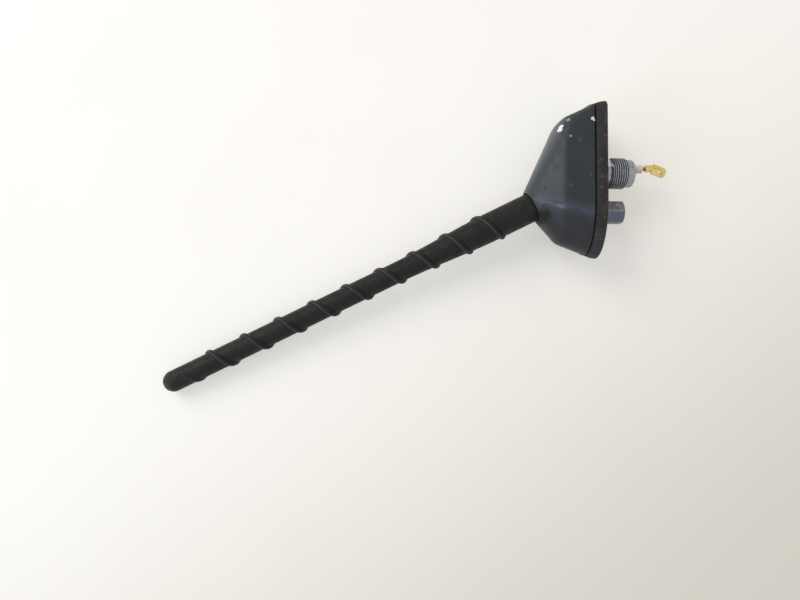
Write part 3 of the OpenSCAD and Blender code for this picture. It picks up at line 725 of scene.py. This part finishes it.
def make_cover():
    """The cover: skirt, soft shoulder, ruled roof, collar, recess, and the hollow inside."""
    c = sizes("cover")
    shoulder_drop, roof_lift, roof_in = 2.2 * MM, 0.3 * MM, 0.6 * MM
    shoulder_end, skirt_rows, shoulder_rows = 0.12, 5, 8
    straight = c.skirt_top - shoulder_drop - c.low
    # Height and inset of the rounded lower edge, in millimetres
    edge = [(0, 0.55), (0.12, 0.22), (0.35, 0.05), (0.8, 0)]
    rings = [base_ring(c.low + z * MM, inset * MM, 0) for z, inset in edge]
    for k in range(1, skirt_rows + 1):
        z = c.low + straight * k / skirt_rows
        rings.append(base_ring(z, 0, (z - c.low) / (c.skirt_top - c.low)))
    top = base_ring(c.skirt_top + roof_lift, roof_in, 1)
    angles = collar_angles(top)
    rim = [on_mast(c.collar_r, a, c.collar_s) for a in angles]
    low, high = rings[-1], roof_ring(top, rim, shoulder_end)
    mid = soften(base_ring(c.skirt_top + roof_lift, 0.1 * MM, 1), c.roof_soft * 0.8)
    for t in (k / shoulder_rows for k in range(1, shoulder_rows)):
        rings.append(between(between(low, mid, t), between(mid, high, t), t))
    rings += [roof_ring(top, rim, t) for t in (shoulder_end, 0.22, 0.35, 0.5, 0.65, 0.8, 0.92,
                                               0.985)]
    # Height and radius from the collar's rounded rim down the recess to the socket's hole
    collar = [(c.collar_s - 0.03 * MM, c.collar_r - 0.12 * MM), (c.collar_s, c.collar_r - 0.3 * MM),
              (c.collar_s - 0.25 * MM, c.recess_r), (c.recess_s, c.recess_r),
              (c.recess_s, c.hole_r), (c.hole_s, c.hole_r)]
    rings += [[on_mast(r, a, s) for a in angles] for s, r in collar]
    inside = [on_mast(c.collar_r - c.wall / 2, a, c.hole_s) for a in angles]
    ceiling = base_ring(c.skirt_top - c.wall, c.wall, 1)
    rings += [roof_ring(ceiling, inside, t) for t in (1, 0.7, 0.4, 0.15, 0)]
    skirting = base_ring(c.low - MM, c.wall, 0)
    share = (c.skirt_top - c.wall - c.low) / (c.skirt_top - c.wall - c.low + MM)
    rings += [between(ceiling, skirting, share * t) for t in (0.35, 0.7, 1)]
    return loft(rings + [rings[0]])


def add_pillars(shell):
    """Adds the three bored screw pillars inside the cover, up into its wall."""
    c = sizes("cover")
    bore, pillar_r, room, above_roof = 1.5 * MM, 3.2 * MM, 0.5 * MM, 40 * MM
    half = c.wall / 2
    top = base_ring(c.skirt_top - half, half, 1)
    rim = [on_mast(c.collar_r - half, a, c.recess_s) for a in collar_angles(top)]
    count = len(top)
    inner = [[Vector((0, 0, c.low - MM))] * count, base_ring(c.low - MM, half, 0), top]
    inner += [roof_ring(top, rim, t) for t in (0.15, 0.4, 0.7, 1)]
    inner.append([sum(rim, Vector()) / count] * count)
    for screw in ("cover_screw_front", "cover_screw_left", "cover_screw_right"):
        low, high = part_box(screw)
        middle, end = (low + high) / 2, high.z + room
        profile = [(c.low, bore), (c.low, pillar_r), (above_roof, pillar_r), (above_roof, 0),
                   (end, 0), (end, bore), (c.low, bore)]
        pillar = turned(profile, 32, middle.x, middle.y)
        cut_away(pillar, loft(inner), "INTERSECT")
        cut_away(shell, pillar, "UNION")
    return shell


def make_gasket():
    """The gasket: a rubber tray that flares out at the roof, with its holes cut through."""
    g, c = sizes("gasket"), sizes("cover")
    # Height and inset of the outside, from the flared foot up
    wall = [(0, 0.25), (0.25, 0), (0.7, 0.03), (1.4, 0.12), (2.2, 0.3), (3, 0.55), (3.8, 0.85),
            (4.4, 1.08), (4.75, 1.2)]
    rows = [(g.relief, g.band), (0, g.band)]
    rows += [(z * MM, inset * MM - g.flare) for z, inset in wall]
    rows += [(c.low, 0.35 * MM), (c.low, g.rim), (g.floor, g.rim)]
    rings = [base_ring(z, inset, 0) for z, inset in rows]
    middle = sum(base_ring(0, 0, 0), Vector()) / len(rings[0])
    underside, floor = ([middle + Vector((0, 0, z))] * len(rings[0]) for z in (g.relief, g.floor))
    # The outside of the long sides sags a little inwards, unevenly
    sag, sag_below, grain = 0.125 * MM, 3 * MM, 9 * MM
    for point in (point for ring in rings for point in ring):
        if point.z < sag_below and abs(point.y) > c.width / 2 - MM and point.xy.length > 13 * MM:
            wave = noise.noise(Vector((point.x, point.y, 0)) / grain)
            point.y -= copysign(sag * (1 - wave), point.y)
    piece = loft([underside] + rings + [floor])
    post = sum(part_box("locating_post"), Vector()) / 2
    below, above = -2 * MM, 4 * MM
    for radius, x in ((g.stud_hole, 0.0), (g.post_hole, post.x)):
        cut_away(piece, turned([(below, 0), (below, radius), (above, radius), (above, 0)], 48, x))
    return piece


def make_stud():
    """The hollow stud: pressed-in tail, neck, cut thread, milled flat and rounded nose."""
    s = sizes("stud")
    count = 96
    root_r = s.crest_r - s.depth
    # In millimetres: height and radius of the tail, depths of the neck, and how far each ring of
    # the nose lies past the thread and inside the nose's radius
    tail = [(5.45, 5.9), (5.1, 6.3), (2, 6.3), (2, 6.98), (1.2, 6.98), (0.4, 6.5)]
    neck = [1.2, 2.2, 3.2, 4.2, 4.8]
    nose = [(0.35, 0), (2.2, 0), (2.7, -0.1), (3.1, -0.35), (3.35, -0.75), (3.5, -1.15)]
    tail_end, bore_step, run_out, thread_rows = 5.45 * MM, 10 * MM, 0.8 * MM, 150
    flat = Vector((0.785, -0.62, 0)).normalized()

    def ring(z, core_r, fade=0):
        """A ring of the stud, with the thread standing out by its share and the flat milled off."""
        points = []
        for i in range(count):
            a = tau * i / count
            wave = 0.5 + 0.5 * cos(tau * (z / s.pitch) - a)
            r = core_r + s.depth * max(fade, 0) * min(1, 1.15 * wave ** 0.8)
            point = Vector((r * cos(a), r * sin(a), z))
            past = point.dot(flat) - s.flat_r
            if -s.flat_z < z < 0 and past > 0 and r > s.bore_r * 1.1:
                point -= flat * past
            points.append(point)
        return points

    rings = [ring(z * MM, r * MM) for z, r in tail] + [ring(-z * MM, root_r) for z in neck]
    for i in range(thread_rows + 1):
        z = -s.neck_z - (s.thread_z - s.neck_z) * i / thread_rows
        rings.append(ring(z, root_r, min(1, (-s.neck_z - z) / run_out + 0.02,
                                         (z + s.thread_z) / run_out + 0.02)))
    rings += [ring(-s.thread_z - z * MM, s.nose_r + r * MM) for z, r in nose]
    rings += [ring(z, s.bore_r) for z in (0.15 * MM - s.end_z, -bore_step, -3 * MM, tail_end)]
    piece = loft(rings + [rings[0]])

    def on_flat(point):
        return point.dot(flat) > s.flat_r - 0.01 * MM and -s.flat_z < point.z < 0

    def in_groove(point):
        """How deep a point lies in the thread's groove."""
        if on_flat(point) or not -s.thread_z < point.z < -s.neck_z:
            return 0
        return (s.crest_r - point.xy.length) / s.depth * 1.25 - 0.3

    write_masks(piece, {"groove": in_groove, "flat": on_flat}, lambda point: (point,))
    return piece


def mast_radius(s):
    """Radius of the mast at a height: foot, soft taper, slim upper part and domed tip."""
    m = sizes("mast")
    dome = m.top - m.slim_r
    if s > dome:
        return sqrt(max(m.slim_r ** 2 - (s - dome) ** 2, 0))
    t = max(0, min(1, (s - m.taper_from) / (m.taper_to - m.taper_from)))
    return m.foot_r + (m.slim_r - m.foot_r) * t * t * (3 - 2 * t)


def rib_offset(s, angle):
    """Distance along the mast from the nearest crest of the spiral rib, up towards the tip."""
    m = sizes("mast")
    turns = (s - m.rib_crest) / m.rib_pitch - angle / tau
    return (turns - round(turns)) * m.rib_pitch


def rib_share(s):
    """Share of the rib's full height, which fades in and out over part of a turn."""
    m = sizes("mast")
    fade_in, fade_out = m.rib_pitch / 4.5, m.rib_pitch / 1.6
    return max(0, min(1, (s - m.rib_from) / fade_in, (m.rib_to - s) / fade_out))


def make_mast():
    """The mast's rubber skin, moulded in one piece with its spiral rib, and its bores."""
    m = sizes("mast")
    # The columns run with the rib and lie closer together on it and just beside it
    near, far, rows_in_turn, dome_step = 28, 44, 28, 8
    reach = tau * 1.35 * m.rib_half / m.rib_pitch
    spread = [reach * (2 * i / near - 1) for i in range(near)]
    spread += [reach + (tau - 2 * reach) * i / far for i in range(far)]

    def ring(s, radius=None):
        """A ring that turns with the rib, at the skin where no radius is given."""
        on_rib = max(m.rib_from, min(m.rib_to, s))
        turn = tau * (on_rib - m.rib_crest) / m.rib_pitch
        points = []
        for a in spread:
            r = radius
            if radius is None:
                off = abs(rib_offset(on_rib, turn + a)) / m.rib_half
                bead = max(0, 1 - off ** 2.4) ** 0.8
                r = mast_radius(s) + m.rib_h * rib_share(s) * bead
            points.append(on_mast(r, turn + a, s))
        return points

    tip = [on_mast(0, 0, m.top)] * len(spread)
    steps = round((m.rib_to - m.rib_from) / m.rib_pitch * rows_in_turn)
    heights = [m.foot + 8 * MM, m.foot + 14 * MM, m.rib_from - 0.1 * MM]
    heights += [m.rib_from + (m.rib_to - m.rib_from) * i / steps for i in range(steps + 1)]
    dome = m.top - m.slim_r
    heights += [dome + m.slim_r * sin(radians(a)) for a in range(0, 90, dome_step)]
    rod_end, winding_end = m.top - 9.95 * MM, m.top - 15.95 * MM
    shank_end, flange_end = m.foot + 15.05 * MM, m.foot + 1.55 * MM
    rod, winding, shank, flange = (r * MM for r in (2.05, 2.6, 3.55, 4.65))
    turned_faces = [(rod_end, 0), (rod_end, rod), (winding_end, rod), (winding_end, winding),
                    (shank_end, winding), (shank_end, shank), (flange_end, shank),
                    (flange_end, flange), (m.foot, flange), (m.foot, m.foot_r - 0.4 * MM),
                    (m.foot + 0.12 * MM, m.foot_r - 0.1 * MM), (m.foot + 0.4 * MM, m.foot_r)]
    piece = loft([ring(s, r) for s, r in turned_faces] + [ring(s) for s in heights] + [tip])

    def read(point):
        """Distance from the rib's crest in millimetres, and height along the mast."""
        away = point - MAST_ROOT
        s = away.dot(MAST_UP)
        angle = atan2(away.dot(LEFT), away.dot(MAST_FRONT))
        return rib_offset(s, angle) / MM, s

    # Painted highlight just above the crest and at the tip, painted shadow below the rib, dusty towards the foot
    write_masks(piece, {
        "pale_marks": lambda d, s: max(exp(-((d - 0.6) / 0.28) ** 2) * rib_share(s),
                                 (s - m.top + 6 * MM) / (12 * MM)),
        "rib_shadow": lambda d, s: exp(-((d + 1.7) / 0.45) ** 2) * rib_share(s),
        "foot": lambda d, s: (60 * MM - s) / (22 * MM)}, read)
    return piece


def make_strands():
    """The lead's core: seven thin wires, twisted, and a little loose where they are bare."""
    low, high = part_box("lead_core")
    side = LEFT.cross(LEAD_DOWN)
    start, end = ((z - LEAD_END.z) / LEAD_DOWN.z for z in (high.z - 0.05 * MM, low.z + 0.06 * MM))
    steps, corners, wire_r, ring_r, lay = 40, 8, 0.24 * MM, 0.44 * MM, 13 * MM
    bare_at, bare_half, play = 5.6 * MM, 0.9 * MM, 0.24 * MM

    def across(angle):
        return side * cos(angle) + LEFT * sin(angle)

    # The first wire runs in the middle, and the other six wind round it
    wires = []
    for k in range(7):
        path = []
        for i in range(steps + 1):
            t = start + (end - start) * i / steps
            loose = exp(-((t - bare_at) / bare_half) ** 2)
            a = tau * (k / 6 + t / lay) + 0.5 * loose * sin(k * 2.4)
            out = (ring_r + play * loose) * (k > 0)
            path.append(LEAD_END + LEAD_DOWN * t + across(a) * out)
        rings = [[point + across(tau * j / corners) * wire_r for j in range(corners)]
                 for point in path]
        wires.append(loft([[path[0]] * corners] + rings + [[path[-1]] * corners]))
    deselect()
    for wire in wires:
        wire.select_set(True)
    bpy.context.view_layer.objects.active = wires[0]
    bpy.ops.object.join()
    return wires[0]


def seen_rays(tree):
    """A mask of the rays that see the stage straight, in a reflection or through glass."""
    path = tree.nodes.new("ShaderNodeLightPath")
    mask = path.outputs["Is Camera Ray"]
    for other in ("Is Glossy Ray", "Is Transmission Ray"):
        node = tree.nodes.new("ShaderNodeMath")
        node.operation = "MAXIMUM"
        tree.links.new(mask, node.inputs[0])
        tree.links.new(path.outputs[other], node.inputs[1])
        mask = node.outputs[0]
    return mask


def add_camera():
    """The photograph's camera, as fitted to the stud, the post and the base."""
    focal_px, picture_px, film = 650, 800, 36
    right = Vector((0.00608, -0.03944, -0.9992))
    up = Vector((0.99875, -0.04942, 0.00803))
    ahead = Vector((0.0497, 0.998, -0.03909))
    deselect()
    bpy.ops.object.camera_add()
    camera = bpy.context.object
    camera.matrix_world = Matrix((right, up, -ahead)).transposed().to_4x4()
    camera.location = Vector((-73.03, -289.913, 100.225)) * MM
    camera.data.sensor_width = film
    camera.data.lens = focal_px / picture_px * film
    camera.data.clip_start = 0.01
    bpy.context.scene.camera = camera


def add_table(stage):
    """The table lies behind the antenna, where its gasket and its tip touch it. It has painted shade,
    darker towards the rear and away from the key lamp, and is clear from behind."""
    behind_car, tilt, side = 17.35 * MM, -0.065, 8
    along, across = Vector((1, 0, 0)), Vector((0, tilt, 1)).normalized()
    deselect()
    bpy.ops.mesh.primitive_grid_add(x_subdivisions=8, y_subdivisions=8, size=1)
    table = bpy.context.object
    for vertex in table.data.vertices:
        x, y, _ = vertex.co * side
        vertex.co = Vector((0, behind_car, 0)) + along * x + across * y
    table.name = table.data.name = "table"
    f = Finish("table_top", stage.table, 0.6, specular=0.2)
    f.paint(f.cloud(60, 0.4, 0.7, 3, shift=2), tuple(v * 0.985 for v in stage.table))
    x, _, z = f.axes()
    # Painted shade: the table darkens away from the key lamp
    shade = tuple(v * k for v, k in zip(stage.table, (0.72, 0.7, 0.66)))
    f.paint(f.band(f.math("ADD", f.both(x, 1.6), z), 90, -420), shade)
    painted = f.shader.inputs["Base Color"].links[0].from_socket
    f.feed(f.shader.inputs["Emission Color"], painted)
    f.feed(f.shader.inputs["Emission Strength"], f.both(seen_rays(f.tree), stage.glow))
    behind = f.add("ShaderNodeNewGeometry").outputs["Backfacing"]
    clear = f.add("ShaderNodeBsdfTransparent").outputs[0]
    mix = f.add("ShaderNodeMixShader", {0: behind, 1: f.shader.outputs[0], 2: clear})
    f.feed(f.tree.nodes["Material Output"].inputs["Surface"], mix.outputs[0])
    table.data.materials.append(f.material)
    table.visible_shadow = False


def add_lamps(stage):
    """Three large lamps round the antenna: name, way to it, distance, size, level and colour."""
    middle = Vector((-40, 0, 80)) * MM
    lamps = (("key_lamp", (0.45, -0.65, 0.6), 1.5, 0.9, stage.key, (1, 0.985, 0.96)),
             ("window_lamp", (-0.44, -0.46, 0.75), 1.5, 0.6, stage.window, (0.66, 0.8, 1)),
             ("rear_lamp", (0.3, 0.8, 0.5), 1.3, 0.9, stage.rear, (1, 0.99, 0.97)))
    for name, way, distance, size, strength, tint in lamps:
        way = Vector(way).normalized()
        deselect()
        bpy.ops.object.light_add(type="AREA", location=middle + way * distance,
                                 rotation=way.to_track_quat("Z", "Y").to_euler())
        lamp = bpy.context.object
        lamp.name = lamp.data.name = name
        lamp.data.size = size
        lamp.data.color = tint
        # At this energy, white that faces the lamp is lit to its level
        lamp.data.energy = strength * (pi * distance) ** 2


def add_room(stage):
    """The light from all round, which is white where it is seen."""
    world = bpy.data.worlds.new("pale_room")
    bpy.context.scene.world = world
    world.use_nodes = True
    nodes, links = world.node_tree.nodes, world.node_tree.links
    back = nodes["Background"]
    back.inputs["Color"].default_value = (*stage.room, 1)
    strength = nodes.new("ShaderNodeMix")
    strength.inputs[2].default_value = stage.air
    strength.inputs[3].default_value = 1.0
    links.new(seen_rays(world.node_tree), strength.inputs[0])
    links.new(strength.outputs[0], back.inputs["Strength"])


class ANTENNA_OT_stage(bpy.types.Operator):
    """Adds the camera, the pale table and the lamps"""

    bl_idname = "antenna.stage"
    bl_label = "Stage"

    def execute(self, context):
        add_camera()
        for add in (add_table, add_lamps, add_room):
            add(context.scene.antenna_stage)
        context.scene.view_settings.view_transform = "Standard"
        return {"FINISHED"}


class ANTENNA_OT_cover(bpy.types.Operator):
    """Models the moulded cover"""

    bl_idname = "antenna.cover"
    bl_label = "Cover"

    def execute(self, context):
        settle(add_pillars(make_cover()), "cover_shell", "housing_cover", cover_finish(), 50)
        return {"FINISHED"}


class ANTENNA_OT_gasket(bpy.types.Operator):
    """Models the rubber gasket"""

    bl_idname = "antenna.gasket"
    bl_label = "Gasket"

    def execute(self, context):
        settle(make_gasket(), "gasket_rubber_tray", "base_gasket", gasket_finish(), 40)
        return {"FINISHED"}


class ANTENNA_OT_stud(bpy.types.Operator):
    """Models the threaded stud and finishes the post"""

    bl_idname = "antenna.stud"
    bl_label = "Stud and post"

    def execute(self, context):
        settle(make_stud(), "stud_thread_cut", "threaded_stud", stud_finish(), 40)
        dress_copy("locating_post", "post_hex", 0.1, post_finish())
        return {"FINISHED"}


class ANTENNA_OT_mast(bpy.types.Operator):
    """Models the rubber mast with its spiral rib"""

    bl_idname = "antenna.mast"
    bl_label = "Mast"

    def execute(self, context):
        settle(make_mast(), "mast_skin", "mast_sheath", mast_finish(), 50)
        return {"FINISHED"}


class ANTENNA_OT_lead(bpy.types.Operator):
    """Models the lead's strands and finishes its sleeve and its flat terminal"""

    bl_idname = "antenna.lead"
    bl_label = "Lead and tab"

    def execute(self, context):
        ivory = plain_finish("ivory_insulation", (0.97, 0.92, 0.81), 0.5, (0.98, 0.94, 0.85))
        copper = metal_finish("copper", (0.6, 0.28, 0.14), 0.35, (0.3, 0.1, 0.05))
        dress_copy("lead_insulation", "lead_sleeve", 0.2, ivory)
        settle(make_strands(), "core_wire", "lead_core", copper)
        dress_copy("blade_terminal", "tab_blade", 0.12, brass_finish())
        return {"FINISHED"}


class ANTENNA_OT_inside(bpy.types.Operator):
    """Finishes the pieces inside the base and the mast"""

    bl_idname = "antenna.inside"
    bl_label = "Inside"

    def execute(self, context):
        zinc = metal_finish("die_cast_zinc", (0.36, 0.37, 0.39), 0.5, (0.2, 0.2, 0.2))
        brass = metal_finish("brass", (0.66, 0.5, 0.2), 0.32, (0.35, 0.24, 0.08))
        tinned = metal_finish("tinned_brass", (0.55, 0.53, 0.48), 0.35, (0.3, 0.28, 0.22))
        steel = metal_finish("screw_steel", (0.4, 0.41, 0.43), 0.38, (0.2, 0.19, 0.18))
        copper = metal_finish("winding_copper", (0.6, 0.28, 0.14), 0.35, (0.3, 0.1, 0.05))
        rubber = plain_finish("plug_rubber", (0.03, 0.03, 0.03), 0.6, (0.06, 0.06, 0.058))
        white = plain_finish("white_plastic", (0.68, 0.67, 0.61), 0.4, (0.74, 0.73, 0.67))
        fibre = plain_finish("rod_glass_fibre", (0.62, 0.6, 0.42), 0.35, (0.7, 0.68, 0.5))
        rows = [("base_plate", "plate_casting", 0.15, zinc),
                ("stud_plug", "plug_ring", 0.15, rubber),
                ("socket_insulator", "socket_bush", 0.15, white),
                ("mast_socket", "socket_brass", 0.1, brass),
                ("ring_terminal", "ring_lug", 0.08, tinned),
                ("spring_washer", "split_washer", 0.08, steel),
                ("contact_nut", "tail_nut", 0.12, brass)]
        rows += [(f"cover_screw_{side}", f"screw_{side}", 0.1, steel)
                 for side in ("front", "left", "right")]
        rows += [("mast_seal", "foot_ring", 0.15, rubber),
                 ("mast_ferrule", "ferrule_brass", 0.12, brass),
                 ("mast_rod", "rod_core", 0.1, fibre),
                 ("mast_winding", "winding_coil", 0.1, copper)]
        for row in rows:
            dress_copy(*row)
        return {"FINISHED"}


STEPS = (ANTENNA_OT_stage, ANTENNA_OT_cover, ANTENNA_OT_gasket, ANTENNA_OT_stud, ANTENNA_OT_mast,
         ANTENNA_OT_lead, ANTENNA_OT_inside)
GROUPS = (("antenna_cover", AntennaCover), ("antenna_gasket", AntennaGasket),
          ("antenna_stud", AntennaStud), ("antenna_mast", AntennaMast),
          ("antenna_stage", AntennaStage))


class ANTENNA_PT_panel(bpy.types.Panel):
    """Lists the antenna's sizes and the steps that make it"""

    bl_idname = "ANTENNA_PT_panel"
    bl_label = "Roof Antenna"
    bl_space_type = "VIEW_3D"
    bl_region_type = "UI"
    bl_category = "Antenna"

    def draw(self, context):
        for step in STEPS:
            self.layout.operator(step.bl_idname)
        for name, group in GROUPS:
            box = self.layout.box()
            box.label(text=name.replace("_", " ").capitalize())
            for key in group.__annotations__:
                box.prop(getattr(context.scene, name), key)


def register():
    for name, group in GROUPS:
        bpy.utils.register_class(group)
        setattr(bpy.types.Scene, name, bpy.props.PointerProperty(type=group))
    for step in STEPS + (ANTENNA_PT_panel,):
        bpy.utils.register_class(step)


def unregister():
    for step in reversed(STEPS + (ANTENNA_PT_panel,)):
        bpy.utils.unregister_class(step)
    for name, group in reversed(GROUPS):
        delattr(bpy.types.Scene, name)
        bpy.utils.unregister_class(group)


def main():
    register()
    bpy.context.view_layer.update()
    for step in ("stage", "cover", "gasket", "stud", "mast", "lead", "inside"):
        getattr(bpy.ops.antenna, step)()


if __name__ == "__main__":
    main()
